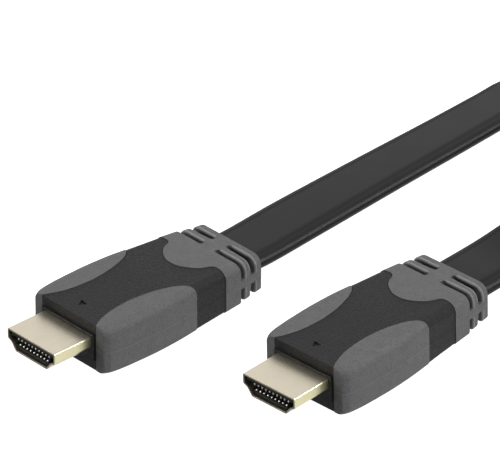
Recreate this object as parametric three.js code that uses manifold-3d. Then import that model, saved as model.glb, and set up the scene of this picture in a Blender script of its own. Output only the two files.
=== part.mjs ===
// A flat audio and video cable, 1.5 m overall, with a moulded plug on each end.
// Millimetres, +Z up. The origin lies under the middle of plug A, which rests flat on the floor with its
// metal tip towards -Y. Plug B lies beside it, and the flat cable that joins them is wound into a round
// coil behind, standing on its edge.
import * as THREE from "three";
import { mergeVertices } from "three/addons/utils/BufferGeometryUtils.js";
import Module from "manifold-3d";

const wasm = await Module();
wasm.setup();

// Distances inside a plug run from its front face, where y is 0, back towards the cable.
const clearance = 0.3; // between pieces that touch
const plugHeight = 10.5; // over the grips
const bodyLength = 32.1;
const bodyRearHalf = 10.25; // half its width where the collar begins
const bodyRearTop = 10;
const bodyRearBottom = 0.45;
const topEdge = 1.9; // rounding of the moulding along the top of its sides
const bottomEdge = 1; // and along the bottom
const originBack = 12; // from plug A's front face to the origin

const gripFrontHalf = 9.95;
const gripWidestHalf = 11.5;
const gripRearHalf = 10.8;
const gripLength = 24.2;
const gripWidestAt = 13;
const gripWaistHalf = 5.4; // how near to the middle the grips reach on the top
const gripRearInner = 9.9;
const gripWall = 1.3;
const gripTaperFrom = 20; // where the top starts to slope down to the collar

const shellWidth = 13.9;
const shellHeight = 4.45;
const shellReach = 9.9; // past the front face
const shellSeat = 6; // inside the body
const shellWall = 0.35;
const shellSideDrop = 2.3; // straight part of each side
const shellJogIn = 1.1;
const shellJogDown = 0.45;
const shellBottomHalf = 4.6;

// A low frame of the body's own plastic stands round the shell, and the grips begin beside it.
const frameWall = 0.35;
const frameLand = 0.42; // above and below the shell's pocket
const frameDepth = 0.4;
const frameHalfWidth = shellWidth / 2 + clearance + frameWall;
const frameHalfHeight = shellHeight / 2 + clearance + frameLand;
const gripFrontInner = frameHalfWidth + clearance;

const insulatorRecess = 0.45; // behind the shell's rim
const insulatorFloor = 0.75; // thickness of its lower shelf
const insulatorRoof = 0.8; // thickness of its upper shelf
const insulatorBack = 3.4; // where the mating space ends, behind the front face, towards the tip
const contactPitch = 1;
const contactWidth = 0.45;
const contactThickness = 0.2;
const contactGap = 0.1;
const contactSetBack = 0.2; // behind the insulator's front
const upperContacts = 10;
const lowerContacts = 9;

const collarRear = 36.65;
const collarRearHalf = 10;
const collarRearTop = 9.65;
const collarRearBottom = 0.6;
const lobeHalf = 5.9;
const lobeLength = 5.5; // how far the collar's round lobe reaches forward
const lobeDepth = 1.2;

const ribWidth = 1.7;
const ribSlot = 1.35;
const ribRings = 2;
const ribHalfWidth = 9.75; // of the first ring
const ribTop = 9.55;
const ribBottom = 0.75;
const ribShrink = 0.35; // each ring is this much smaller all round
const ribTopEdge = 2.3;
const ribBottomEdge = 1.1;
const bootCoreHalf = 7.3;
const bootCoreHeight = 4.9;
const topWeb = 3.2; // bridge between the rings on the top and underneath
const sideWeb = 2;

const cableWidth = 14.4;
const cableThickness = 3;

const plugB = { x: 42.51, y: 23.39, yaw: 3.29, pitch: 2.05 };

const coilCentre = { x: 63.85, y: 179.99 };
const coilRadius = 75; // outer turn, at the middle of the cable
const coilPitch = 5.15;
const coilTurned = 884; // degrees, from where plug A's run joins the outer turn to the end of the inner one

const deg = Math.PI / 180;
const mid = plugHeight / 2;
const bootRear = collarRear + ribRings * (ribSlot + ribWidth);

const plastic = (color, roughness) => new THREE.MeshStandardMaterial({ color, roughness, metalness: 0 });
const metal = (color, roughness) => new THREE.MeshStandardMaterial({ color, roughness, metalness: 1 });
const looks = {
  shell: metal(0xcfc6ae, 0.4),
  contact: metal(0xe0d3b0, 0.3),
  insulator: plastic(0x141414, 0.6),
  body: plastic(0x2f2f30, 0.65),
  grip: plastic(0x66666a, 0.6),
  cable: plastic(0x2c2c2d, 0.5),
};

// A closed mesh as a solid for joining and cutting, and back again.
function toSolid(geometry) {
  const bare = geometry.index ? geometry.toNonIndexed() : geometry.clone();
  bare.deleteAttribute("normal");
  bare.deleteAttribute("uv");
  const merged = mergeVertices(bare, 1e-4);
  return new wasm.Manifold(
    new wasm.Mesh({
      numProp: 3,
      vertProperties: new Float32Array(merged.attributes.position.array),
      triVerts: new Uint32Array(merged.index.array),
    }),
  );
}

function toGeometry(solid) {
  const mesh = solid.getMesh();
  const positions = new Float32Array(mesh.numVert * 3);
  for (let i = 0; i < mesh.numVert; i++) {
    for (let k = 0; k < 3; k++) positions[i * 3 + k] = mesh.vertProperties[i * mesh.numProp + k];
  }
  const geometry = new THREE.BufferGeometry();
  geometry.setAttribute("position", new THREE.BufferAttribute(positions, 3));
  geometry.setIndex(new THREE.BufferAttribute(new Uint32Array(mesh.triVerts), 1));
  geometry.computeVertexNormals();
  return geometry;
}

// A rectangle with one rounding at its two upper corners and another at its two lower ones.
function roundedBox(halfWidth, bottom, top, upperRadius, lowerRadius, steps = 4) {
  const most = 0.98 * Math.min(halfWidth, (top - bottom) / 2);
  const upper = Math.min(upperRadius, most);
  const lower = Math.min(lowerRadius, most);
  const points = [];
  const corners = [
    [1, top - upper, upper, 0],
    [-1, top - upper, upper, 90],
    [-1, bottom + lower, lower, 180],
    [1, bottom + lower, lower, 270],
  ];
  for (const [side, height, radius, from] of corners) {
    for (let i = 0; i <= steps; i++) {
      const angle = (from + (90 * i) / steps) * deg;
      points.push(
        new THREE.Vector2(
          side * (halfWidth - radius) + radius * Math.cos(angle),
          height + radius * Math.sin(angle),
        ),
      );
    }
  }
  return points;
}

const roundedRect = (halfWidth, halfHeight, radius, steps) =>
  roundedBox(halfWidth, -halfHeight, halfHeight, radius, radius, steps);

// A value read off a smooth line through [y, value] pairs.
function along(pairs, y) {
  const last = pairs.length - 1;
  if (y <= pairs[0][0]) return pairs[0][1];
  if (y >= pairs[last][0]) return pairs[last][1];
  const i = pairs.findIndex(([at]) => at > y) - 1;
  const [y0, v0] = pairs[i];
  const [y1, v1] = pairs[i + 1];
  return v0 + ((v1 - v0) * (y - y0)) / (y1 - y0);
}

// A bar of rounded section that changes along y: a straight extrusion whose rings are reshaped. Its form
// gives the half width, bottom and top at each y, and the roundings of its upper and lower corners.
function bar(from, to, form, steps) {
  const unit = new THREE.Shape(roundedRect(1, 1, 0.5));
  const geometry = new THREE.ExtrudeGeometry(unit, { depth: 1, steps, bevelEnabled: false });
  const position = geometry.attributes.position;
  const template = roundedRect(1, 1, 0.5);
  for (let i = 0; i < position.count; i++) {
    const t = position.getZ(i);
    const y = from + (to - from) * t;
    const real = roundedBox(form.half(y), form.bottom(y), form.top(y), form.upper, form.lower);
    const u = position.getX(i);
    const v = position.getY(i);
    const k = template.findIndex((p) => Math.hypot(p.x - u, p.y - v) < 1e-4);
    position.setXYZ(i, -real[k].x, y, real[k].y);
  }
  return toSolid(geometry);
}

// A plan outline made into an upright prism between two heights.
function prism(points, bottom, top) {
  const shape = new THREE.Shape(points.map(([x, y]) => new THREE.Vector2(x, y)));
  const geometry = new THREE.ExtrudeGeometry(shape, { depth: top - bottom, bevelEnabled: false });
  geometry.translate(0, 0, bottom);
  return toSolid(geometry);
}

function block(x0, x1, y0, y1, z0, z1) {
  const geometry = new THREE.BoxGeometry(x1 - x0, y1 - y0, z1 - z0);
  geometry.translate((x0 + x1) / 2, (y0 + y1) / 2, (z0 + z1) / 2);
  return toSolid(geometry);
}

// The outside of the whole moulding, grips and all.
const outsideHalf = (y) =>
  along(
    [
      [0, gripFrontHalf],
      [0.6, gripFrontHalf + 0.5],
      [1.6, gripFrontHalf + 0.9],
      [3.5, gripWidestHalf - 0.35],
      [8, gripWidestHalf - 0.08],
      [gripWidestAt, gripWidestHalf],
      [18, gripWidestHalf - 0.2],
      [gripLength, gripRearHalf],
      [gripLength + clearance, gripRearHalf - 0.2],
      [bodyLength + clearance, bodyRearHalf],
      [collarRear, collarRearHalf],
    ],
    y,
  );
const outsideTop = (y) =>
  along(
    [
      [gripTaperFrom, plugHeight],
      [bodyLength, bodyRearTop],
      [collarRear, collarRearTop],
    ],
    y,
  );
const outsideBottom = (y) =>
  along(
    [
      [gripTaperFrom, 0],
      [bodyLength, bodyRearBottom],
      [collarRear, collarRearBottom],
    ],
    y,
  );

// The moulding's form, drawn in by some amount all round.
const outsideForm = (by) => ({
  half: (y) => outsideHalf(y) - by,
  bottom: (y) => outsideBottom(y) + by,
  top: (y) => outsideTop(y) - by,
  upper: topEdge,
  lower: bottomEdge,
});
const straightForm = (half, bottom, top, upper, lower) => ({
  half: () => half,
  bottom: () => bottom,
  top: () => top,
  upper,
  lower,
});
const moulding = bar(0, collarRear, outsideForm(0), 40);

// How far from the middle a grip begins on the top, at each distance from the front.
const gripInner = [
  [0, gripFrontInner],
  [1.5, gripFrontInner - 0.8],
  [4.5, gripWaistHalf + 0.7],
  [8, gripWaistHalf + 0.15],
  [11, gripWaistHalf],
  [13.3, gripWaistHalf + 0.15],
  [15.8, gripWaistHalf + 0.5],
  [18, gripWaistHalf + 1],
  [20, gripWaistHalf + 1.65],
  [21.8, gripWaistHalf + 2.45],
  [gripLength - 1.2, gripRearInner - 1.1],
  [gripLength - 0.5, gripRearInner],
  [gripLength, gripRearInner + 1.4],
];

function gripOutline(side, spare) {
  const inner = gripInner.map(([y, x]) => [side * (x - spare), y + (y > gripWidestAt ? spare : 0)]);
  const far = gripWidestHalf + 3;
  return [
    [side * far, -1],
    [side * (gripFrontInner - spare), -1],
    ...inner,
    [side * far, gripLength + spare],
  ];
}

function lobeOutline(spare) {
  const points = [];
  for (let i = 0; i <= 16; i++) {
    const angle = (180 + (180 * i) / 16) * deg;
    points.push([
      (lobeHalf + spare) * Math.cos(angle),
      bodyLength + clearance + (lobeLength + spare) * Math.sin(angle),
    ]);
  }
  points.push([lobeHalf + spare, bodyLength + 1]);
  points.push([-lobeHalf - spare, bodyLength + 1]);
  return points;
}

// The shell's outline seen from the tip, drawn in by some amount.
function shellOutline(by) {
  const half = shellWidth / 2 - by;
  const top = shellHeight / 2 - by;
  const sideEnd = shellHeight / 2 - shellSideDrop;
  const jogEnd = sideEnd - shellJogDown;
  const slantTop = shellWidth / 2 - shellJogIn - by;
  const slantFoot = shellBottomHalf - by * 0.8;
  const right = [
    [half - 0.5, top],
    [half - 0.15, top - 0.15],
    [half, top - 0.5],
    [half, sideEnd + by * 0.4],
    [slantTop, jogEnd + by * 0.4],
    [slantFoot, -top],
  ];
  const left = right.map(([x, z]) => [-x, z]).reverse();
  return [...right, ...left].map(([x, z]) => new THREE.Vector2(x, z));
}

// A section seen from the front, extruded along y between two distances.
function section(points, from, to) {
  const shape = new THREE.Shape(points);
  const geometry = new THREE.ExtrudeGeometry(shape, { depth: to - from, bevelEnabled: false });
  geometry.rotateX(Math.PI / 2);
  geometry.translate(0, to, mid);
  return toSolid(geometry);
}

function shellSolid() {
  return section(shellOutline(0), -shellReach, shellSeat).subtract(
    section(shellOutline(shellWall), -shellReach - 1, shellSeat + 1),
  );
}

const insulatorFront = -shellReach + insulatorRecess;
const shelfTop = mid + shellHeight / 2 - shellWall - clearance - insulatorRoof;
const shelfBottom = mid - shellHeight / 2 + shellWall + clearance + insulatorFloor;

function insulatorSolid() {
  const filling = section(shellOutline(shellWall + clearance), insulatorFront, shellSeat);
  const space = block(-shellWidth, shellWidth, insulatorFront - 1, -insulatorBack, shelfBottom, shelfTop);
  return filling.subtract(space);
}

function contactSolids() {
  const from = insulatorFront + contactSetBack;
  const rows = [
    { name: "upper", count: upperContacts, z: shelfTop - contactGap - contactThickness },
    { name: "lower", count: lowerContacts, z: shelfBottom + contactGap },
  ];
  return rows.flatMap(({ name, count, z }) =>
    Array.from({ length: count }, (_, i) => {
      const x = (i - (count - 1) / 2) * contactPitch;
      const half = contactWidth / 2;
      return {
        name: `contact_${name}_${i + 1}`,
        solid: block(x - half, x + half, from, -insulatorBack - contactGap, z, z + contactThickness),
      };
    }),
  );
}

function bodySolid() {
  const whole = moulding.intersect(block(-30, 30, 0, bodyLength, -5, 25));
  const core = bar(gripWall + clearance, gripLength + 1, outsideForm(gripWall + clearance), 24);
  const frame = section(roundedRect(frameHalfWidth, frameHalfHeight, 0.5), -frameDepth, shellSeat);
  const pocket = section(shellOutline(-clearance), -frameDepth - 1, shellSeat + clearance);
  const lobeUpper = prism(lobeOutline(clearance), plugHeight - lobeDepth - clearance - 1, plugHeight + 1);
  const lobeLower = prism(lobeOutline(clearance), -1, lobeDepth + clearance + 1);
  return whole
    .subtract(prism(gripOutline(1, clearance), -5, 25))
    .subtract(prism(gripOutline(-1, clearance).reverse(), -5, 25))
    .add(core)
    .add(frame)
    .subtract(pocket)
    .subtract(lobeUpper)
    .subtract(lobeLower);
}

function gripSolid(side) {
  const outline = side > 0 ? gripOutline(1, 0) : gripOutline(-1, 0).reverse();
  const core = bar(gripWall, gripLength + 2, outsideForm(gripWall), 24);
  const besideFrame = section(
    roundedRect(frameHalfWidth + clearance, frameHalfHeight + clearance, 0.5),
    -1,
    shellSeat,
  );
  return moulding.intersect(prism(outline, -5, 25)).subtract(core).subtract(besideFrame);
}

function bootSolid() {
  const collar = moulding.intersect(block(-30, 30, bodyLength + clearance, collarRear, -5, 25));
  const lobes = moulding
    .intersect(prism(lobeOutline(0), -5, 25))
    .subtract(block(-30, 30, -5, 60, lobeDepth + 1, plugHeight - lobeDepth - 1));
  const coreForm = straightForm(bootCoreHalf, mid - bootCoreHeight / 2, mid + bootCoreHeight / 2, 1.4, 1.4);
  let boot = collar.add(lobes).add(bar(collarRear - 1, bootRear, coreForm, 1));
  for (let i = 0; i < ribRings; i++) {
    const from = collarRear + ribSlot + i * (ribSlot + ribWidth);
    const half = ribHalfWidth - i * ribShrink;
    const bottom = ribBottom + i * ribShrink;
    const top = ribTop - i * ribShrink;
    const ring = bar(from, from + ribWidth, straightForm(half, bottom, top, ribTopEdge, ribBottomEdge), 1);
    const webFrom = from - ribSlot - 0.2;
    const webTo = from + 0.2;
    const middle = (top + bottom) / 2;
    const sides = block(-half, half, webFrom, webTo, middle - sideWeb / 2, middle + sideWeb / 2);
    const flats = block(-topWeb / 2, topWeb / 2, webFrom, webTo, bottom, top);
    boot = boot.add(ring).add(sides).add(flats);
  }
  return boot;
}

function plug(mark) {
  const group = new THREE.Group();
  const add = (name, solid, look) => {
    const mesh = new THREE.Mesh(toGeometry(solid), look);
    mesh.name = `${name}_${mark}`;
    group.add(mesh);
  };
  add("metal_shell", shellSolid(), looks.shell);
  add("insulator", insulatorSolid(), looks.insulator);
  for (const { name, solid } of contactSolids()) add(name, solid, looks.contact);
  add("body", bodySolid(), looks.body);
  add("grip_right", gripSolid(1), looks.grip);
  add("grip_left", gripSolid(-1), looks.grip);
  add("strain_relief", bootSolid(), looks.grip);
  return group;
}

const cableHalf = cableWidth / 2;
const onEdge = cableHalf + 0.1; // height of the cable's middle where it stands on its edge
const overCoil = cableWidth + 0.4 + cableThickness / 2; // and where it lies flat on the coil

// A flat cable laid along a curve. The roll at each point of the curve turns the section about the curve.
function flatCable(points, rolls, steps) {
  const curve = new THREE.CatmullRomCurve3(points, false, "centripetal");
  const shape = new THREE.Shape(roundedRect(cableHalf, cableThickness / 2, cableThickness / 2, 2));
  const geometry = new THREE.ExtrudeGeometry(shape, { depth: 1, steps, bevelEnabled: false });
  const lengths = points.map((_, i) => i / (points.length - 1));
  const position = geometry.attributes.position;
  const up = new THREE.Vector3(0, 0, 1);
  for (let i = 0; i < position.count; i++) {
    const t = curve.getUtoTmapping(position.getZ(i));
    const at = curve.getPoint(t);
    const ahead = curve.getTangent(t);
    const side = new THREE.Vector3().crossVectors(ahead, up).normalize();
    const above = new THREE.Vector3().crossVectors(side, ahead);
    const roll =
      along(
        lengths.map((u, k) => [u, rolls[k]]),
        t,
      ) * deg;
    const across = side.clone().multiplyScalar(Math.cos(roll)).addScaledVector(above, Math.sin(roll));
    const thick = above.clone().multiplyScalar(Math.cos(roll)).addScaledVector(side, -Math.sin(roll));
    at.addScaledVector(across, -position.getX(i)).addScaledVector(thick, position.getY(i));
    position.setXYZ(i, at.x, at.y, at.z);
  }
  return toGeometry(toSolid(geometry));
}

const root = new THREE.Group();

const plugOne = plug("a");
plugOne.position.y = -originBack;
root.add(plugOne);

const plugTwo = plug("b");
plugTwo.position.set(plugB.x, plugB.y - originBack, 0);
plugTwo.rotation.set(plugB.pitch * deg, 0, plugB.yaw * deg, "ZXY");
root.add(plugTwo);

// Where the cable leaves each plug, and a point a little further on along the plug's own line.
plugOne.updateMatrix();
plugTwo.updateMatrix();
const leaving = [bootRear + clearance, bootRear + clearance + 4];
const startOf = (group) =>
  leaving.map((y) => [...new THREE.Vector3(0, y, mid).applyMatrix4(group.matrix).toArray(), 0]);

// The way from each plug to the coil, each point with the cable's roll there in degrees. The run from
// plug A turns on its edge and meets the coil's outer turn. The run from plug B crosses over the coil
// and meets its inner turn.
const runA = [
  ...startOf(plugOne),
  [-1.3, 50, mid, 0],
  [-3.2, 75, mid, 3.5],
  [-4.6, 97, mid + 0.1, 6.5],
  [-5.7, 112, 5.45, 8.5],
  [-6.2, 119, 5.6, 10],
  [-6.9, 128, 6, 36],
  [-7.8, 138, 6.8, 66],
  [-9, 150, onEdge, 90],
];
const runB = [
  ...startOf(plugTwo),
  [39.2, 68, 7.2, 0],
  [40, 78, 9.6, 0],
  [42.5, 88, 13.2, 0],
  [46, 98, 15.6, 0],
  [50, 106, overCoil, 0],
  [54, 113.5, overCoil, 0],
  [58, 121, overCoil + 0.3, 0],
  [64, 129, 15.4, -17],
  [74.5, 135.5, 11.8, -46],
  [85.5, 141, 9.2, -70],
  [96.7, 146.2, 7.8, -84],
  [106.7, 151.4, onEdge, -90],
  [115.4, 159.5, onEdge, -90],
  [122.2, 171.2, onEdge, -90],
];

function cableRun(name, run, steps) {
  const points = run.map(([x, y, z]) => new THREE.Vector3(x, y, z));
  const mesh = new THREE.Mesh(
    flatCable(
      points,
      run.map((p) => p[3]),
      steps,
    ),
    looks.cable,
  );
  mesh.name = name;
  root.add(mesh);
}

cableRun("cable_run_a", runA, 14);
cableRun("cable_run_b", runB, 26);

const coilInner = coilRadius - (coilPitch * coilTurned) / 360;
const coilSection = [
  [coilInner - cableThickness / 2, 0],
  [coilRadius + cableThickness / 2, 0],
  [coilRadius + cableThickness / 2, cableWidth + 0.05],
  [coilInner - cableThickness / 2, cableWidth + 0.05],
  [coilInner - cableThickness / 2, 0],
].map(([r, z]) => new THREE.Vector2(r, z));
const coil = new THREE.Mesh(new THREE.LatheGeometry(coilSection, 72), looks.cable);
coil.name = "cable_coil";
coil.rotation.x = Math.PI / 2;
coil.position.set(coilCentre.x, coilCentre.y, 0);
root.add(coil);

export default root;
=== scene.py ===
import math

import bmesh
import bpy
from bpy.props import FloatProperty, FloatVectorProperty, PointerProperty
from mathutils import Matrix, Vector


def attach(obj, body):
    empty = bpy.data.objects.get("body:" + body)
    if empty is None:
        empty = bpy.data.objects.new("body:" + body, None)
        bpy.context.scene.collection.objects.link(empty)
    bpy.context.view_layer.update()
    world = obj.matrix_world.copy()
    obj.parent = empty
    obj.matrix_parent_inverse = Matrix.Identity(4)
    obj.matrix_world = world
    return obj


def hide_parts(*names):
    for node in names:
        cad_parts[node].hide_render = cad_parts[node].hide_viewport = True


bl_info = {
    "name": "Flat cable with two plugs",
    "version": (1, 0, 0),
    "blender": (4, 5, 0),
    "location": "View3D > Sidebar > Flat cable",
    "description": "Dresses the flat cable, its two plugs and a small studio",
    "category": "Object",
}

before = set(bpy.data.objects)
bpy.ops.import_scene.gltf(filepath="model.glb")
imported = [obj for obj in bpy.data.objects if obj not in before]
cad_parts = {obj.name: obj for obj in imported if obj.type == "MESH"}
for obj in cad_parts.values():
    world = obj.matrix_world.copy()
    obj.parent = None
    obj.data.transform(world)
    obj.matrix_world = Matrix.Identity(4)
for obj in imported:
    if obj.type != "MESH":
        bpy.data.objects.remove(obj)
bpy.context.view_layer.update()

# Plugs are modelled in millimetres, with y 0 at the front face of the black moulding and y growing
# towards the cable, and are then put in their places in metres.
MID = 5.25  # height of a plug's middle
IN_METRES = Matrix.Scale(0.001, 4)
PLACES = {
    "a": Matrix.Translation((0, -0.012, 0)) @ IN_METRES,
    "b": Matrix.Translation((0.04251, 0.01139, 0))
    @ Matrix.Rotation(math.radians(3.29), 4, "Z")
    @ Matrix.Rotation(math.radians(2.05), 4, "X")
    @ IN_METRES,
}
MOULD_LINE = 4.87  # height at which the two halves of the mould met
SHELL_TIP = -9.9
SHELL_LENGTH = 15.9
COLLAR_FRONT = 32.4  # on the sides, behind the lobe
COLLAR_REAR = 36.65
BOOT_REAR = 42.75

# The slots between the ribs, and what they leave standing
RIB_SLOT = 1.35  # width of a slot
RIB_STEP = 3.05  # from one slot to the next
RIB_ROUND = 0.42
TOP_WEB_HALF = 1.9
SIDE_WEB_HALF = 1.2
CORE_HALF = 7.3
CORE_HALF_HEIGHT = 2.45
RIB_MIDDLE = 5.13

# The cable's route, in metres
CABLE_MID = MID / 1000
ON_EDGE = 0.0073  # height of the cable's middle where it stands on its edge
OVER_COIL = 0.0163  # and where it lies flat over the coil
COIL_CENTRE = (0.06385, 0.17999)
COIL_START = 184  # degrees
COIL_TURNED = 884
INNER_BEND_CENTRE = (0.08203, 0.18661)
INNER_BEND_RADIUS = 0.043
PATH_STEP = 0.0022

# The room: name, direction, size in metres and brightness of each softbox
LIGHT_DISTANCE = 1.1
SOFTBOXES = [
    ("softbox_left_back", (-0.63, 0.58, 0.52), 0.8, 0.42),
    ("softbox_right_back", (0.52, 0.58, 0.63), 0.3, 14),
    ("softbox_left_front", (-0.63, -0.52, 0.58), 0.85, 1.5),
    ("softbox_front", (-0.63, -0.74, 0.24), 0.4, 4),
    ("softbox_right_front", (0.85, -0.35, 0.45), 0.7, 1.6),
]
# The light from all round: brightness by height, from the horizon and below to overhead, and how it
# rises from the side that the plugs point at to the side behind them
AIR_BY_HEIGHT = [(0, 0.8), (0.2, 0.42), (0.6, 0.42), (1, 1)]
AIR_RISE = 1.1
AIR_LEVEL = 0.85
AIR_LEAST = 0.22
CAMERA_TARGET = Vector((-0.00832, 0.044, 0.0002))
TOWARDS_CAMERA = Vector((0.6277, -0.5817, 0.5173))
CAMERA_DISTANCE = 1.5
CAMERA_LENS = 536.8


def length_property(name, description, default):
    return FloatProperty(
        name=name, description=description, default=default, min=0,
        subtype="DISTANCE", unit="LENGTH",
    )


def colour_property(name, description, default):
    return FloatVectorProperty(
        name=name, description=description, default=default, size=3, min=0, max=1, subtype="COLOR"
    )


class FLATCABLE_PG_sizes(bpy.types.PropertyGroup):
    cable_width: length_property("Cable width", "Across the flat cable", 0.0144)
    cable_thickness: length_property("Cable thickness", "Through the flat cable", 0.003)
    coil_radius: length_property("Coil radius", "To the middle of the coil's outer turn", 0.075)
    coil_pitch: length_property("Coil pitch", "From one turn of the coil to the next", 0.00515)
    grip_rise: length_property("Grip rise", "How far the grey stands proud of the black", 0.0001)
    edge_round: length_property("Edge rounding", "Of the moulding's edges along its sides", 0.0019)
    edge_round_below: length_property("Lower edge rounding", "Of its edges underneath", 0.001)
    mould_flash: length_property("Mould line", "Height of the fine line along the sides", 0.00005)
    arrow_depth: length_property("Arrow depth", "Of the arrow in the top of each plug", 0.00032)
    joint_gap: length_property("Joint gap", "Between the black body and the grey pieces", 0.00009)
    shell_wall: length_property("Shell wall", "Thickness of the metal shell", 0.00035)


class FLATCABLE_PG_looks(bpy.types.PropertyGroup):
    body: colour_property("Body colour", "Black grained moulding", (0.007, 0.007, 0.0073))
    grip: colour_property("Grip colour", "Grey grips, collar and ribs", (0.134, 0.133, 0.136))
    cable: colour_property("Cable colour", "Jacket of the flat cable", (0.007, 0.007, 0.0075))
    shell: colour_property("Shell colour", "Plating of the metal shells", (0.80, 0.73, 0.58))
    # The sides get a lighter, yellower copy of the plating's colour than the top: painted light.
    shell_side_painted_light: colour_property("Shell side colour", "Plating on its sides", (0.95, 0.9, 0.58))
    contact: colour_property("Contact colour", "Plated contacts", (0.92, 0.88, 0.78))
    insulator: colour_property("Insulator colour", "Inside the shells", (0.008, 0.008, 0.008))
    floor: colour_property("Floor colour", "The studio floor", (0.9, 0.9, 0.9))


def sizes():
    return bpy.context.scene.flatcable_sizes


def looks():
    return bpy.context.scene.flatcable_looks


def mm(size):
    return size * 1000


# Selecting and editing

def unselect():
    bpy.ops.object.select_all(action="DESELECT")


def hold(obj):
    unselect()
    obj.select_set(True)
    bpy.context.view_layer.objects.active = obj


class editing:
    """Edit mode on one object, with nothing selected at the start."""

    def __init__(self, obj):
        self.obj = obj

    def __enter__(self):
        hold(self.obj)
        bpy.ops.object.mode_set(mode="EDIT")
        bpy.ops.mesh.select_all(action="DESELECT")

    def __exit__(self, *_):
        bpy.ops.object.mode_set(mode="OBJECT")


def pick(kind, test):
    """Selects only the vertices, edges or faces that pass the test."""
    mesh = bpy.context.edit_object.data
    bpy.ops.mesh.select_mode(type=kind)
    bpy.ops.mesh.select_all(action="DESELECT")
    form = bmesh.from_edit_mesh(mesh)
    for element in {"VERT": form.verts, "EDGE": form.edges, "FACE": form.faces}[kind]:
        if test(element):
            element.select_set(True)
    form.select_flush_mode()
    bmesh.update_edit_mesh(mesh)


def settle(obj):
    hold(obj)
    bpy.ops.object.transform_apply(location=True, rotation=True, scale=True)
    return obj


def block(name, x, y, z):
    """A box between two limits along each axis."""
    unselect()
    bpy.ops.mesh.primitive_cube_add(
        size=1,
        location=((x[0] + x[1]) / 2, (y[0] + y[1]) / 2, (z[0] + z[1]) / 2),
        scale=(x[1] - x[0], y[1] - y[0], z[1] - z[0]),
    )
    obj = bpy.context.object
    obj.name = name
    return settle(obj)


def outline(name, points, depth):
    """A closed outline of points in space, filled and drawn out by depth."""
    unselect()
    bpy.ops.mesh.primitive_circle_add(vertices=len(points), radius=1, fill_type="NGON")
    obj = bpy.context.object
    obj.name = name
    for vertex, point in zip(obj.data.vertices, points):
        vertex.co = point
    with editing(obj):
        bpy.ops.mesh.select_all(action="SELECT")
        bpy.ops.mesh.extrude_region_move(TRANSFORM_OT_translate={"value": depth})
        bpy.ops.mesh.select_all(action="SELECT")
        bpy.ops.mesh.normals_make_consistent(inside=False)
    return obj


def add_modifier(obj, kind, **settings):
    hold(obj)
    modifier = obj.modifiers.new(kind.lower(), kind)
    for name, value in settings.items():
        setattr(modifier, name, value)
    bpy.ops.object.modifier_apply(modifier=modifier.name)
    return obj


def combine(obj, tool, operation):
    add_modifier(obj, "BOOLEAN", operation=operation, solver="EXACT", object=tool)
    bpy.data.objects.remove(tool)
    if not obj.data.polygons:
        raise RuntimeError(f"{obj.name} is empty after {operation}")
    return obj


def two_slots(obj):
    """Slot 0 for a piece's faces and slot 1 for those that round its edges."""
    while len(obj.data.materials) < 2:
        obj.data.materials.append(None)


def soften(obj, width, segments=3, angle=35):
    """Rounds every sharp edge a little and shades the rest smooth.

    The new faces get material slot 1, which the black and grey materials paint lighter as a painted
    highlight."""
    two_slots(obj)
    add_modifier(
        obj, "BEVEL", width=width, segments=segments, limit_method="ANGLE",
        angle_limit=math.radians(angle), miter_outer="MITER_ARC", material=1,
    )
    hold(obj)
    bpy.ops.object.shade_smooth_by_angle(angle=math.radians(40))
    return add_modifier(obj, "WEIGHTED_NORMAL", keep_sharp=True, weight=50)


def join(objects, name):
    unselect()
    for obj in objects:
        obj.select_set(True)
    bpy.context.view_layer.objects.active = objects[0]
    bpy.ops.object.join()
    objects[0].name = name
    return objects[0]


def copy_of(obj, name):
    twin = obj.copy()
    twin.data = obj.data.copy()
    twin.name = name
    bpy.context.collection.objects.link(twin)
    return twin


def fit_to_plugs(obj, name, nodes, material):
    """Puts one copy of a finished plug piece on each plug, in place of its CAD nodes.

    Each point keeps its place in the plug, and each face keeps whether it rounds an edge."""
    rims = [float(face.material_index == 1) for face in obj.data.polygons]
    obj.data.materials.clear()
    obj.data.materials.append(material)
    obj.data.polygons.foreach_set("material_index", [0] * len(rims))
    obj.data.attributes.new("rim", "FLOAT", "FACE").data.foreach_set("value", rims)
    for mark, place in PLACES.items():
        piece = copy_of(obj, f"{name}_{mark}")
        remembered = piece.data.attributes.new("plug_place", "FLOAT_VECTOR", "POINT")
        for vertex, value in zip(piece.data.vertices, remembered.data):
            value.vector = vertex.co
        piece.data.transform(place)
        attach(piece, "root")
        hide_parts(*[f"{node}_{mark}" for node in nodes])
    bpy.data.objects.remove(obj)


# Lines

def smooth_line(points, step):
    """A smooth line through points of any number of coordinates, with a point about every step."""
    points = [Vector(p) for p in points]
    ends = [2 * points[0] - points[1]] + points + [2 * points[-1] - points[-2]]
    line = [points[0]]
    for p0, p1, p2, p3 in zip(ends, ends[1:], ends[2:], ends[3:]):
        t1 = max((p1 - p0).length, 1e-9) ** 0.5
        t2 = t1 + max((p2 - p1).length, 1e-9) ** 0.5
        t3 = t2 + max((p3 - p2).length, 1e-9) ** 0.5
        count = max(1, round((p2 - p1).length / step))
        for i in range(1, count + 1):
            t = t1 + (t2 - t1) * i / count
            a1 = p0 * ((t1 - t) / t1) + p1 * (t / t1)
            a2 = p1 * ((t2 - t) / (t2 - t1)) + p2 * ((t - t1) / (t2 - t1))
            a3 = p2 * ((t3 - t) / (t3 - t2)) + p3 * ((t - t2) / (t3 - t2))
            b1 = a1 * ((t2 - t) / t2) + a2 * (t / t2)
            b2 = a2 * ((t3 - t) / (t3 - t1)) + a3 * ((t - t1) / (t3 - t1))
            line.append(b1 * ((t2 - t) / (t2 - t1)) + b2 * ((t - t1) / (t2 - t1)))
    return line


def value_along(pairs, at):
    """A value read off straight lines between (place, value) pairs."""
    if at <= pairs[0][0]:
        return pairs[0][1]
    for (a, va), (b, vb) in zip(pairs, pairs[1:]):
        if at <= b:
            return va + (vb - va) * (at - a) / (b - a)
    return pairs[-1][1]


# Materials

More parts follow.
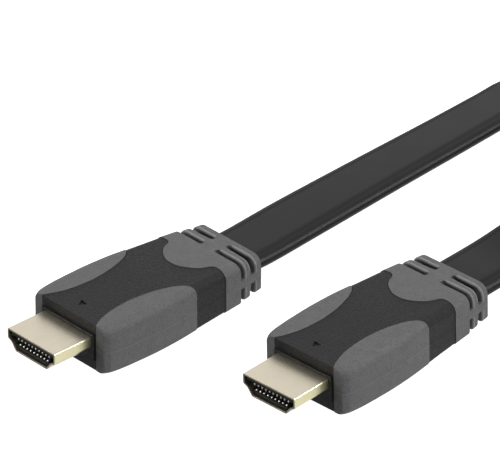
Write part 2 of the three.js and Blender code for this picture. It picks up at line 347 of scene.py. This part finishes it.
class Value:
    """A socket in a material. Sums and products of it add Math nodes."""

    def __init__(self, finish, socket):
        self.finish = finish
        self.socket = socket

    def _with(self, operation, *values):
        return self.finish.node("ShaderNodeMath", {"operation": operation}, dict(enumerate(values)))

    def __add__(self, other):
        return self._with("ADD", self, other)

    __radd__ = __add__

    def __mul__(self, other):
        return self._with("MULTIPLY", self, other)

    __rmul__ = __mul__

    def __sub__(self, other):
        return self._with("SUBTRACT", self, other)

    def __rsub__(self, other):
        return self._with("SUBTRACT", other, self)

    def __truediv__(self, other):
        return self._with("DIVIDE", self, other)

    def over(self, level):
        return self._with("GREATER_THAN", self, level)

    def size(self):
        return self._with("ABSOLUTE", self)

    def or_more(self, other):
        return self._with("MAXIMUM", self, other)

    def clamped(self):
        return self.finish.node("ShaderNodeClamp", inputs={"Value": self})


class Finish:
    """A material with one Principled shader."""

    def __init__(self, name):
        self.material = bpy.data.materials.new(name)
        self.material.use_nodes = True
        self.tree = self.material.node_tree
        self.shader = self.tree.nodes["Principled BSDF"]
        self.place = self.node("ShaderNodeTexCoord", out="Object")

    def node(self, kind, settings=None, inputs=None, out=0):
        """Any node: its settings first, then the values or links of its sockets."""
        made = self.tree.nodes.new(kind)
        for name, value in (settings or {}).items():
            if name == "stops":
                while len(made.color_ramp.elements) < len(value):
                    made.color_ramp.elements.new(1)
                for element, (position, colour) in zip(made.color_ramp.elements, value):
                    element.position = position
                    element.color = colour
            else:
                setattr(made, name, value)
        for name, value in (inputs or {}).items():
            self.feed(made.inputs[name], value)
        return Value(self, made.outputs[out])

    def feed(self, socket, value):
        if isinstance(value, Value):
            self.tree.links.new(value.socket, socket)
        else:
            socket.default_value = value

    def set(self, **sockets):
        for name, value in sockets.items():
            self.feed(self.shader.inputs[name.replace("_", " ")], value)
        return self.material

    def on_piece(self, name, part="Fac"):
        """A value that the piece carries at each of its points or faces."""
        return self.node("ShaderNodeAttribute", {"attribute_name": name}, out=part)

    def place_in_plug(self):
        """Across, along and up within a plug, in millimetres."""
        vector = self.on_piece("plug_place", "Vector")
        parts = self.node("ShaderNodeSeparateXYZ", inputs={"Vector": vector}).socket.node
        return [Value(self, parts.outputs[axis]) for axis in "XYZ"]

    def near_mould_line(self):
        """1 on the mould line, fading to 0 a little above and below it. The materials lift their
        colour by it: a painted highlight.
        """
        fade = 7  # per millimetre
        _, _, up = self.place_in_plug()
        return (1 - (up - MOULD_LINE).size() * fade).clamped()

    def noise(self, scale, detail=2.0, roughness=0.5):
        return self.node(
            "ShaderNodeTexNoise",
            inputs={"Vector": self.place, "Scale": scale, "Detail": detail, "Roughness": roughness},
        )

    def tint(self, colour, amount, low, high):
        """The colour made darker or lighter by an amount from 0 to 1."""
        dark, light = ([*(part * factor for part in colour), 1] for factor in (low, high))
        return self.node("ShaderNodeValToRGB", {"stops": [(0, dark), (1, light)]}, {"Fac": amount})

    def bump(self, height, distance, strength=1.0):
        return self.node(
            "ShaderNodeBump", inputs={"Height": height, "Distance": distance, "Strength": strength},
            out="Normal",
        )


def black_moulding():
    f = Finish("grained_black_moulding")
    grain = f.noise(2000, 3, 0.8)
    fine = f.noise(3000, 2, 0.6)
    amount = grain * 0.75 + fine * 0.25
    # The mould-line and rim terms lift the colour along the mould line and on the rounded edges:
    # painted highlights. The noise is the moulding's own grain.
    grain_and_painted_highlights = amount + 0.4 * f.near_mould_line() + 0.3 * f.on_piece("rim")
    f.set(Roughness=0.1 + 0.8 * grain, Base_Color=f.tint(looks().body, grain_and_painted_highlights, 0.05, 3))
    f.set(Normal=f.bump(amount, 0.0003, 1.0), Specular_IOR_Level=0.38)
    return f.material


def grey_grip():
    f = Finish("soft_grey_grip")
    grain = f.noise(2000, 3, 0.8)
    mottle = f.noise(450, 2)
    rim = f.on_piece("rim")
    # The rim and mould-line terms lift the colour on the rounded edges and along the mould line:
    # painted highlights. The grain and mottle are the plastic's own tone.
    amount = grain * 0.6 + mottle * 0.15 + 0.5 * rim + 0.25 * f.near_mould_line()
    # Deep in the slots between the ribs the colour is darkened: painted shade.
    rib_half, rib_half_height = 9.3, 4.2
    across, along, up = f.place_in_plug()
    outward = (across.size() / rib_half).or_more((up - MID).size() / rib_half_height)
    deep = along.over(COLLAR_REAR - 0.05) * (1 - (outward - 0.72) * 6).clamped()
    f.set(Roughness=0.3 + 0.4 * grain - 0.1 * rim)
    f.set(Base_Color=f.tint(looks().grip, amount * (1 - deep), 0.12, 2.25))
    f.set(Normal=f.bump(grain, 0.0002, 0.9))
    return f.material


def cable_jacket():
    f = Finish("satin_cable_jacket")
    fine = f.noise(2400, 2)
    drawn = f.noise(150, 2)
    valley = f.on_piece("valley")
    # The valley term darkens the colour along each edge: painted shade. The noise is the jacket's own
    # tone.
    tone_and_valley_shade = (fine * 0.4 + drawn * 0.6) * (1 - 0.75 * valley)
    f.set(Roughness=0.36 + 0.12 * drawn + 0.14 * valley)
    f.set(Base_Color=f.tint(looks().cable, tone_and_valley_shade, 0.2, 1.8))
    f.set(Normal=f.bump(fine, 0.00004, 0.5), Specular_IOR_Level=0.31)
    return f.material


def shell_plating():
    f = Finish("plated_shell")
    speckle = f.noise(2600, 3, 0.7)
    broad = f.noise(350, 2)
    amount = speckle * 0.6 + broad * 0.4
    flat_half_squared = 45.5  # the top is flat out to here, in square millimetres
    across, _, _ = f.place_in_plug()
    # The sides take a lighter, yellower copy of the plating's colour than the top: painted light.
    top = f.tint(looks().shell, amount, 0.86, 1.12)
    side = f.tint(looks().shell_side_painted_light, amount, 0.88, 1.1)
    colour = f.node(
        "ShaderNodeMix", {"data_type": "RGBA"},
        {"Factor": (across * across).over(flat_half_squared), 6: top, 7: side}, out=2,
    )
    f.set(Roughness=0.24 + 0.16 * speckle, Base_Color=colour, Metallic=1.0)
    f.set(Normal=f.bump(speckle, 0.00003, 0.5))
    return f.material


def contact_plating():
    f = Finish("plated_contacts")
    wear = f.noise(1800, 2)
    f.set(Roughness=0.2 + 0.2 * wear, Metallic=1.0)
    return f.set(Base_Color=f.tint(looks().contact, wear, 0.8, 1.1))


def insulator_plastic():
    f = Finish("black_insulator")
    fine = f.noise(2600, 2)
    f.set(Roughness=0.45 + 0.2 * fine, Base_Color=f.tint(looks().insulator, fine, 0.5, 1.6))
    return f.set(Normal=f.bump(fine, 0.00002, 0.4))


# Forms that the plug's pieces share

HALF_WIDTHS = [
    (0, 9.95), (0.2, 10.2), (0.6, 10.45), (1.1, 10.68), (1.6, 10.85), (2.5, 11.02), (3.5, 11.15),
    (5.5, 11.32), (8, 11.42), (10.5, 11.48), (13, 11.5), (15.5, 11.43), (18, 11.3), (21, 11.08),
    (24.2, 10.8), (28, 10.52), (32.4, 10.25), (34.5, 10.12), (COLLAR_REAR, 10),
]
TOPS = [
    (0, 10.5), (19, 10.5), (21, 10.46), (24.2, 10.34), (28, 10.18), (32.4, 9.96),
    (COLLAR_REAR, 9.65),
]
BOTTOMS = [(0, 0), (19, 0), (21, 0.04), (24.2, 0.13), (28, 0.27), (32.4, 0.45), (COLLAR_REAR, 0.6)]
MORE_PLACES = {20.0, 22.5, 26, 30}  # where the moulding gets a section of its own as well
BOOT_SECTIONS = [
    (36, 9.85, 9.63, 0.65), (38, 9.75, 9.55, 0.75), (41.05, 9.45, 9.28, 1.02),
    (BOOT_REAR, 9.25, 9.18, 1.12),
]
PLAN_FLOOR = -3  # the cutters of the plan start below the plug and are this high
PLAN_HEIGHT = 20
PLAN_HALF = 15
PLAN_REAR = 50


def lofted(name, sections, upper, lower):
    """A bar along y through sections of (y, half width, top, bottom), with its four edges rounded."""
    places = [y for y, *_ in sections]
    form = block(name, (-1, 1), (places[0], places[-1]), (MID - 1, MID + 1))
    with editing(form):
        for y in places[1:-1]:
            bpy.ops.mesh.select_all(action="SELECT")
            bpy.ops.mesh.bisect(plane_co=(0, y, 0), plane_no=(0, 1, 0), threshold=1e-5)
        for y, half, top, bottom in sections:
            pick("VERT", lambda v: abs(v.co.y - y) < 1e-4)
            size = (half, 1, (top - bottom) / 2)
            bpy.ops.transform.resize(value=size, center_override=(0, y, MID))
            bpy.ops.transform.translate(value=(0, 0, (top + bottom) / 2 - MID))
        for radius, is_upper in ((upper, True), (lower, False)):
            pick("EDGE", lambda e: abs(e.verts[0].co.y - e.verts[1].co.y) > 1e-4
                 and (e.verts[0].co.z > MID) == is_upper)
            bpy.ops.mesh.bevel(
                offset=radius, segments=7, profile=0.5, affect="EDGES", clamp_overlap=False
            )
    return form


def moulding(name, inset=0.0):
    """The plug's whole outside from its front face to the rear of its collar."""
    sections = []
    for y in sorted({at for at, _ in HALF_WIDTHS} | MORE_PLACES):
        half, top, bottom = (value_along(pairs, y) for pairs in (HALF_WIDTHS, TOPS, BOTTOMS))
        sections.append((y, half - inset, top - inset, bottom + inset))
    return lofted(name, sections, mm(sizes().edge_round), mm(sizes().edge_round_below))


def grip_zone(side, spare=0.0):
    """The part of the plan that one grip covers."""
    inner = [
        (7.95, -1), (7.9, 0), (7.15, 1.5), (6.1, 4.5), (5.55, 8), (5.4, 11), (5.55, 13.3),
        (5.9, 15.8), (6.4, 18), (7.05, 20), (7.85, 21.8), (8.8, 23), (9.9, 23.75), (11, 24.15),
        (12.5, 24.3),
    ]
    inner = [(x - spare, y + spare * (y > 20)) for x, y in inner]
    edge = smooth_line([(x, y, 0) for x, y in inner], step=0.55)
    line = [(side * p.x, p.y, PLAN_FLOOR) for p in edge]
    line += [(side * PLAN_HALF, y, PLAN_FLOOR) for _, y in (inner[-1], inner[0])]
    return outline("grip_zone", line, (0, 0, PLAN_HEIGHT))


def collar_zone(spare=0.0):
    """The part of the plan that the collar and its lobe cover."""
    half = [
        (0, 26.9), (1.6, 27.1), (3.1, 27.85), (4.4, 28.8), (5.25, 29.75), (5.75, 30.8), (6.2, 31.9),
        (6.9, 32.5), (7.8, 32.62), (8.8, 32.5), (9.7, 32.42), (10.6, 32.4), (12.5, 32.4),
    ]
    half = [(x + spare * (x > 4), y - spare) for x, y in half]
    line = smooth_line([(x, y, 0) for x, y in half], step=0.4)
    right = [(p.x, p.y, PLAN_FLOOR) for p in line]
    left = [(-x, y, z) for x, y, z in reversed(right[1:])]
    front = COLLAR_FRONT - spare
    corners = [(1, front), (1, PLAN_REAR), (-1, PLAN_REAR), (-1, front)]
    rest = [(side * PLAN_HALF, y, PLAN_FLOOR) for side, y in corners]
    return outline("collar_zone", left + right + rest, (0, 0, PLAN_HEIGHT))


def shell_points(grow, y):
    """The shell's outline seen from the tip."""
    half = [(6.95, 2.225), (6.95, -0.075), (5.85, -0.525), (4.6, -2.225)]
    points = [(x + grow, y, MID + z + (grow if z > 0 else -grow if z < -2 else 0)) for x, z in half]
    return points + [(-x, y0, z) for x, y0, z in reversed(points)]


def mould_line(obj):
    """A fine raised line where the mould's halves met, between cuts that keep the shading flat."""
    cuts = (-0.3, -0.08, 0, 0.08, 0.3)
    sides_from = 9  # the line runs along the sides only
    with editing(obj):
        for cut in cuts:
            bpy.ops.mesh.select_all(action="SELECT")
            plane = (0, 0, MOULD_LINE + cut)
            bpy.ops.mesh.bisect(plane_co=plane, plane_no=(0, 0, 1), threshold=1e-5)
        pick("VERT", lambda v: abs(v.co.z - MOULD_LINE) < 1e-4 and abs(v.co.x) > sides_from)
        bpy.ops.transform.shrink_fatten(value=mm(sizes().mould_flash))
    hold(obj)
    bpy.ops.object.shade_smooth_by_angle(angle=math.radians(40))
    return add_modifier(obj, "WEIGHTED_NORMAL", keep_sharp=True, weight=100)


class FLATCABLE_OT_studio(bpy.types.Operator):
    """Adds the pale floor, the soft lights and the camera"""

    bl_idname = "flatcable.studio"
    bl_label = "Studio"

    def lay_floor(self, context):
        """White paper that the pieces neither mirror nor take light from."""
        unselect()
        bpy.ops.mesh.primitive_plane_add(size=8, location=(0, 0, -0.00005))
        floor = settle(context.object)
        floor.name = "studio_floor"
        paper = Finish("pale_floor")
        paper.set(Base_Color=(*looks().floor, 1), Roughness=0.9, Specular_IOR_Level=0.1)
        paper.set(Emission_Color=(1, 1, 1, 1), Emission_Strength=0.95)
        floor.data.materials.append(paper.material)
        floor.visible_glossy = False
        floor.visible_diffuse = False

    def fill_air(self, context):
        """Light from all round, by height, and dimmer from the side that the plugs point at."""
        world = bpy.data.worlds.new("studio_air")
        world.use_nodes = True
        nodes = world.node_tree.nodes
        links = world.node_tree.links
        where = nodes.new("ShaderNodeTexCoord")
        way = nodes.new("ShaderNodeSeparateXYZ")
        shade = nodes.new("ShaderNodeValToRGB")
        stops = shade.color_ramp.elements
        for height, brightness in AIR_BY_HEIGHT:
            stop = stops[0] if height == 0 else stops.new(height)
            stop.color = (brightness, brightness, brightness, 1)
        behind = nodes.new("ShaderNodeMath")
        behind.operation = "MULTIPLY_ADD"
        behind.inputs[1].default_value = AIR_RISE
        behind.inputs[2].default_value = AIR_LEVEL
        limit = nodes.new("ShaderNodeClamp")
        limit.inputs["Min"].default_value = AIR_LEAST
        strength = nodes.new("ShaderNodeVectorMath")
        strength.operation = "MULTIPLY"
        for source, socket in (
            (where.outputs["Generated"], way.inputs["Vector"]),
            (way.outputs["Z"], shade.inputs["Fac"]),
            (way.outputs["Y"], behind.inputs[0]),
            (behind.outputs[0], limit.inputs["Value"]),
            (shade.outputs["Color"], strength.inputs[0]),
            (limit.outputs[0], strength.inputs[1]),
            (strength.outputs[0], nodes["Background"].inputs["Color"]),
        ):
            links.new(source, socket)
        context.scene.world = world

    def hang_lights(self, context):
        """Softboxes round the plugs. A lamp's power grows with its area, for one brightness."""
        middle = Vector((0, 0.04, 0))
        for name, way, size, brightness in SOFTBOXES:
            lamp = bpy.data.objects.new(name, bpy.data.lights.new(name, "AREA"))
            lamp.data.size = size
            lamp.data.energy = brightness * math.pi * size * size
            lamp.location = Vector(way) * LIGHT_DISTANCE
            lamp.rotation_euler = (middle - lamp.location).to_track_quat("-Z", "Y").to_euler()
            context.collection.objects.link(lamp)

    def set_camera(self, context):
        """A long lens, because the photograph shows no perspective."""
        camera = bpy.data.objects.new("camera", bpy.data.cameras.new("camera"))
        camera.location = CAMERA_TARGET + CAMERA_DISTANCE * TOWARDS_CAMERA
        gaze = CAMERA_TARGET - camera.location
        camera.rotation_euler = gaze.to_track_quat("-Z", "Y").to_euler()
        camera.data.sensor_width = 36
        camera.data.lens = CAMERA_LENS
        camera.data.clip_start = 0.05
        camera.data.clip_end = 20
        context.collection.objects.link(camera)
        context.scene.camera = camera

    def execute(self, context):
        self.lay_floor(context)
        self.fill_air(context)
        self.hang_lights(context)
        self.set_camera(context)
        context.scene.view_settings.view_transform = "Standard"
        return {"FINISHED"}


# One quarter of the cable's outline: across and thick, each as a share of its half, and how deep the
# point lies in the valley that runs along each edge.
# The last column also darkens the jacket's colour along the valleys: painted shade.
CABLE_QUARTER = [
    (0, 1, 0), (0.3, 1, 0), (0.52, 1, 0), (0.58, 0.995, 0.15), (0.64, 0.96, 0.6), (0.69, 0.925, 1),
    (0.74, 0.915, 0.9), (0.79, 0.9, 0.4), (0.84, 0.85, 0.1), (0.89, 0.75, 0), (0.935, 0.6, 0),
    (0.97, 0.41, 0), (0.992, 0.2, 0),
]
ROLL_SCALE = 1e5  # keeps the roll from weighing in the spacing of the route's points


def around(centre, radius, degrees):
    """A point of the coil, with the cable on its edge."""
    angle = math.radians(degrees)
    return (centre[0] + radius * math.cos(angle), centre[1] + radius * math.sin(angle), ON_EDGE, 90)


class FLATCABLE_OT_cable(bpy.types.Operator):
    """Lays the flat cable from plug A round its coil to plug B"""

    bl_idname = "flatcable.cable"
    bl_label = "Cable"

    def route(self):
        """Points of the cable's middle, each with its roll in degrees over the roll scale."""
        out = [
            (0, 0.0297, CABLE_MID, 0), (0, 0.03505, CABLE_MID, 0), (-0.0013, 0.05, CABLE_MID, 0),
            (-0.0032, 0.075, CABLE_MID, 3.5), (-0.0046, 0.097, 0.00535, 6.5),
            (-0.0057, 0.112, 0.00545, 8.5), (-0.0062, 0.119, 0.0056, 10),
            (-0.0069, 0.128, 0.006, 36), (-0.0078, 0.138, 0.0068, 66),
            (-0.009, 0.15, ON_EDGE, 90), (-0.0103, 0.163, ON_EDGE, 90),
        ]
        turns = []
        for turned in range(0, COIL_TURNED + 1, 8):
            radius = sizes().coil_radius - sizes().coil_pitch * turned / 360
            turns.append(around(COIL_CENTRE, radius, COIL_START - turned))
        inner = [around(INNER_BEND_CENTRE, INNER_BEND_RADIUS, 20 - 7.5 * k) for k in range(1, 11)]
        back = [
            (0.0967, 0.1462, 0.0078, 84), (0.0855, 0.141, 0.0092, 70), (0.0745, 0.1355, 0.0118, 46),
            (0.064, 0.129, 0.0154, 17), (0.058, 0.121, OVER_COIL + 0.0003, 0),
            (0.054, 0.1135, OVER_COIL, 0), (0.05, 0.106, OVER_COIL, 0), (0.046, 0.098, 0.0156, 0),
            (0.0425, 0.088, 0.0132, 0), (0.04, 0.078, 0.0096, 0), (0.0392, 0.068, 0.0072, 0),
        ]
        for y in (47.05, 41.7):
            at = PLACES["b"] @ Vector((0, y, MID))
            back.append((*at, 0))
        return [(x, y, z, roll / ROLL_SCALE) for x, y, z, roll in out + turns + inner + back]

    def section(self):
        """Across, thick and depth of valley of each point round the cable.

        It has a flat middle between long round edges, with a shallow valley where they meet."""
        half = sizes().cable_width / 2
        thick = sizes().cable_thickness / 2
        upper = [(u * half, v * thick, dip) for u, v, dip in CABLE_QUARTER]
        right = upper + [(half, 0, 0)] + [(u, -v, dip) for u, v, dip in reversed(upper[1:])]
        return right + [(-u, -v, dip) for u, v, dip in right]

    def execute(self, context):
        line = smooth_line(self.route(), PATH_STEP)
        path = [Vector(p[:3]) for p in line]
        section = self.section()
        mesh = bpy.data.meshes.new("flat_cable")
        form = bmesh.new()
        rings = []
        for i, centre in enumerate(path):
            ahead = (path[min(i + 1, len(path) - 1)] - path[max(i - 1, 0)]).normalized()
            side = ahead.cross(Vector((0, 0, 1))).normalized()
            above = side.cross(ahead)
            roll = math.radians(line[i][3] * ROLL_SCALE)
            across = side * math.cos(roll) + above * math.sin(roll)
            thick = above * math.cos(roll) - side * math.sin(roll)
            rings.append([form.verts.new(centre + across * u + thick * v) for u, v, _ in section])
        for ring, after in zip(rings, rings[1:]):
            for k in range(len(section)):
                form.faces.new((ring[k - 1], ring[k], after[k], after[k - 1]))
        form.faces.new(rings[0])
        form.faces.new(reversed(rings[-1]))
        bmesh.ops.recalc_face_normals(form, faces=form.faces)
        form.to_mesh(mesh)
        form.free()
        valley = mesh.attributes.new("valley", "FLOAT", "POINT")
        for i, value in enumerate(valley.data):
            value.value = section[i % len(section)][2]
        cable = bpy.data.objects.new("flat_cable", mesh)
        context.collection.objects.link(cable)
        hold(cable)
        bpy.ops.object.shade_smooth_by_angle(angle=math.radians(60))
        mesh.materials.append(cable_jacket())
        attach(cable, "root")
        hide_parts("cable_run_a", "cable_run_b", "cable_coil")
        return {"FINISHED"}


class FLATCABLE_OT_shells(bpy.types.Operator):
    """Makes the plated metal shell of each plug"""

    bl_idname = "flatcable.shells"
    bl_label = "Metal shells"

    def execute(self, context):
        points = shell_points(0, SHELL_TIP)
        unselect()
        bpy.ops.mesh.primitive_circle_add(vertices=len(points), radius=1, fill_type="NOTHING")
        tube = context.object
        for vertex, point in zip(tube.data.vertices, points):
            vertex.co = point
        corner_round = 0.32
        with editing(tube):
            bpy.ops.mesh.select_all(action="SELECT")
            bpy.ops.mesh.bevel(offset=corner_round, segments=4, affect="VERTICES")
            bpy.ops.mesh.select_all(action="SELECT")
            bpy.ops.mesh.extrude_edges_move(TRANSFORM_OT_translate={"value": (0, SHELL_LENGTH, 0)})
            bpy.ops.mesh.select_all(action="SELECT")
            bpy.ops.mesh.normals_make_consistent(inside=False)
        middle = tube.data.polygons[0]
        if middle.normal.dot(Vector(middle.center) - Vector((0, middle.center.y, MID))) < 0:
            tube.data.flip_normals()
        add_modifier(
            tube, "SOLIDIFY", thickness=mm(sizes().shell_wall), offset=-1, use_even_offset=True
        )
        soften(tube, 0.13, 3, 50)
        fit_to_plugs(tube, "plated_shell", ["metal_shell"], shell_plating())
        return {"FINISHED"}


class FLATCABLE_OT_contacts(bpy.types.Operator):
    """Finishes the insulators and makes the rows of sprung contacts inside the shells"""

    bl_idname = "flatcable.contacts"
    bl_label = "Insulators and contacts"

    def row(self, count, spine):
        """A row of equal contacts, from the (y, z) line of one contact's strip, tip first."""
        half_width = 0.18
        half = 0.09  # of the strip's thickness
        at_tip = 3  # points of the spine
        above = [(-half_width, y - half * (k < at_tip), z + half) for k, (y, z) in enumerate(spine)]
        below = [(-half_width, y + half * (k < at_tip), z - half) for k, (y, z) in enumerate(spine)]
        strip = outline("contact", above + below[::-1], (2 * half_width, 0, 0))
        add_modifier(
            strip, "BEVEL", width=0.06, segments=2, limit_method="ANGLE",
            angle_limit=math.radians(50),
        )
        add_modifier(
            strip, "ARRAY", count=count, use_relative_offset=False, use_constant_offset=True,
            constant_offset_displace=(1, 0, 0),
        )
        strip.data.transform(Matrix.Translation(((1 - count) / 2, 0, 0)))
        return strip

    def execute(self, context):
        plastic = insulator_plastic()
        for name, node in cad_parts.items():
            if name.startswith("insulator_"):
                node.data.materials.clear()
                node.data.materials.append(plastic)
        hooks = [
            (-9.14, 5.32), (-9.1, 5.5), (-9.02, 5.72), (-8.88, 5.92), (-8.65, 6.06), (-8.3, 6.1),
            (-3.5, 6.1),
        ]
        crowns = [
            (-9.16, 4.34), (-9.05, 4.46), (-8.85, 4.56), (-8.55, 4.5), (-8.2, 4.36), (-7.8, 4.34),
            (-3.5, 4.34),
        ]
        contacts = join([self.row(10, hooks), self.row(9, crowns)], "contacts")
        hold(contacts)
        bpy.ops.object.shade_smooth_by_angle(angle=math.radians(40))
        nodes = [f"contact_upper_{k}" for k in range(1, 11)]
        nodes += [f"contact_lower_{k}" for k in range(1, 10)]
        fit_to_plugs(contacts, "sprung_contacts", nodes, contact_plating())
        return {"FINISHED"}


class FLATCABLE_OT_bodies(bpy.types.Operator):
    """Makes the black grained moulding of each plug"""

    bl_idname = "flatcable.bodies"
    bl_label = "Black bodies"

    def execute(self, context):
        body = moulding("body", mm(sizes().grip_rise))
        half, half_height, stands_out = 7.6, 2.95, 0.4
        lip = block(
            "lip", (-half, half), (-stands_out, 0.5), (MID - half_height, MID + half_height)
        )
        combine(body, lip, "UNION")
        gap = mm(sizes().joint_gap)
        combine(body, grip_zone(1, gap), "DIFFERENCE")
        combine(body, grip_zone(-1, gap), "DIFFERENCE")
        combine(body, collar_zone(gap), "DIFFERENCE")
        combine(body, outline("pocket", shell_points(0.04, -1), (0, 7.2, 0)), "DIFFERENCE")
        floor = 2 * MID - mm(sizes().grip_rise) - mm(sizes().arrow_depth)
        arrow = [(-1.22, 4.4, floor), (-0.21, 2.6, floor), (0.72, 4.22, floor)]
        combine(body, outline("arrow", arrow, (0, 0, 2)), "DIFFERENCE")
        soften(body, 0.1)
        mould_line(body)
        fit_to_plugs(body, "black_body", ["body"], black_moulding())
        return {"FINISHED"}


class FLATCABLE_OT_grips(bpy.types.Operator):
    """Makes the two soft side grips of each plug"""

    bl_idname = "flatcable.grips"
    bl_label = "Side grips"

    def execute(self, context):
        finish = grey_grip()
        for word, side in (("right", 1), ("left", -1)):
            grip = combine(moulding("grip"), grip_zone(side), "INTERSECT")
            soften(grip, 0.2, 4)
            mould_line(grip)
            fit_to_plugs(grip, f"soft_grip_{word}", [f"grip_{word}"], finish)
        return {"FINISHED"}


class FLATCABLE_OT_reliefs(bpy.types.Operator):
    """Makes the collar and the ribbed strain relief of each plug"""

    bl_idname = "flatcable.reliefs"
    bl_label = "Strain reliefs"

    def slots(self):
        """The cutter for the slots between the ribs: one quarter, then mirrored and repeated."""
        along = (COLLAR_REAR, COLLAR_REAR + RIB_SLOT)
        beyond = 14  # past the outside of the boot
        top = block("slot", (TOP_WEB_HALF, beyond), along, (MID + CORE_HALF_HEIGHT, beyond))
        with editing(top):
            pick("EDGE", lambda e: all(abs(v.co.x - TOP_WEB_HALF) < 1e-3 for v in e.verts)
                 and abs(e.verts[0].co.z - e.verts[1].co.z) > 1)
            bpy.ops.mesh.bevel(offset=0.6, segments=5, profile=0.5, affect="EDGES")
        side = block("slot_side", (CORE_HALF, beyond), along, (MOULD_LINE + SIDE_WEB_HALF, beyond))
        combine(top, side, "UNION")
        add_modifier(top, "MIRROR", use_axis=(True, False, False), use_mirror_merge=False)
        lower = copy_of(top, "slot_lower")
        upside_down = Matrix.Scale(-1, 4, (0, 0, 1))
        lower.data.transform(Matrix.Translation((0, 0, 2 * RIB_MIDDLE)) @ upside_down)
        lower.data.flip_normals()
        both = join([top, lower], "slots")
        return add_modifier(
            both, "ARRAY", count=2, use_relative_offset=False, use_constant_offset=True,
            constant_offset_displace=(0, RIB_STEP, 0),
        )

    def round_ribs(self, boot):
        """Gives the ribs' outer edges their own fuller rounding."""
        edges = (COLLAR_REAR + RIB_SLOT, COLLAR_REAR + RIB_STEP, COLLAR_REAR + RIB_SLOT + RIB_STEP)
        outer_half, outer_half_height = 8.6, 3  # leaves out the floors of the slots

        def on_rib(edge):
            return any(all(abs(v.co.y - y) < 1e-3 for v in edge.verts) for y in edges)

        def outside(vertex):
            return abs(vertex.co.z - MID) > outer_half_height or abs(vertex.co.x) > outer_half

        def between_flank_and_crest(edge):
            slopes = [abs(face.normal.y) for face in edge.link_faces]
            return max(slopes) > 0.9 and min(slopes) < 0.3

        two_slots(boot)
        with editing(boot):
            pick("EDGE", lambda e: on_rib(e) and all(outside(v) for v in e.verts)
                 and between_flank_and_crest(e))
            # The new faces go to slot 1, whose colour the grip's material lifts: a painted highlight
            # along the ribs' rounded edges.
            bpy.ops.mesh.bevel(
                offset=RIB_ROUND, segments=4, profile=0.5, affect="EDGES", clamp_overlap=False,
                material=1,
            )

    def execute(self, context):
        collar = combine(moulding("collar"), collar_zone(), "INTERSECT")
        boot = lofted("boot", BOOT_SECTIONS, 2.2, 1.1)
        combine(collar, boot, "UNION")
        combine(collar, self.slots(), "DIFFERENCE")
        self.round_ribs(collar)
        half, half_height, floor, beyond = 7.3, 1.6, 41.4, 45
        mouth = block("mouth", (-half, half), (floor, beyond), (MID - half_height, MID + half_height))
        with editing(mouth):
            pick("EDGE", lambda e: abs(e.verts[0].co.y - e.verts[1].co.y) > 1)
            bpy.ops.mesh.bevel(offset=1.5, segments=6, profile=0.5, affect="EDGES")
        combine(collar, mouth, "DIFFERENCE")
        soften(collar, 0.13)
        mould_line(collar)
        fit_to_plugs(collar, "strain_relief_ribbed", ["strain_relief"], grey_grip())
        return {"FINISHED"}


OPERATORS = [
    FLATCABLE_OT_studio,
    FLATCABLE_OT_cable,
    FLATCABLE_OT_shells,
    FLATCABLE_OT_contacts,
    FLATCABLE_OT_bodies,
    FLATCABLE_OT_grips,
    FLATCABLE_OT_reliefs,
]


class FLATCABLE_PT_panel(bpy.types.Panel):
    """Lists the pieces in the order in which they are made"""

    bl_idname = "FLATCABLE_PT_panel"
    bl_label = "Flat cable"
    bl_space_type = "VIEW_3D"
    bl_region_type = "UI"
    bl_category = "Flat cable"

    def draw(self, context):
        for operator in OPERATORS:
            self.layout.operator(operator.bl_idname)
        for group in (sizes(), looks()):
            box = self.layout.box()
            for name in group.__annotations__:
                box.prop(group, name)


CLASSES = [FLATCABLE_PG_sizes, FLATCABLE_PG_looks, *OPERATORS, FLATCABLE_PT_panel]


def register():
    for cls in CLASSES:
        bpy.utils.register_class(cls)
    bpy.types.Scene.flatcable_sizes = PointerProperty(type=FLATCABLE_PG_sizes)
    bpy.types.Scene.flatcable_looks = PointerProperty(type=FLATCABLE_PG_looks)


def unregister():
    del bpy.types.Scene.flatcable_looks
    del bpy.types.Scene.flatcable_sizes
    for cls in reversed(CLASSES):
        bpy.utils.unregister_class(cls)


def main():
    register()
    bpy.ops.flatcable.studio()
    bpy.ops.flatcable.cable()
    bpy.ops.flatcable.shells()
    bpy.ops.flatcable.contacts()
    bpy.ops.flatcable.bodies()
    bpy.ops.flatcable.grips()
    bpy.ops.flatcable.reliefs()


if __name__ == "__main__":
    main()
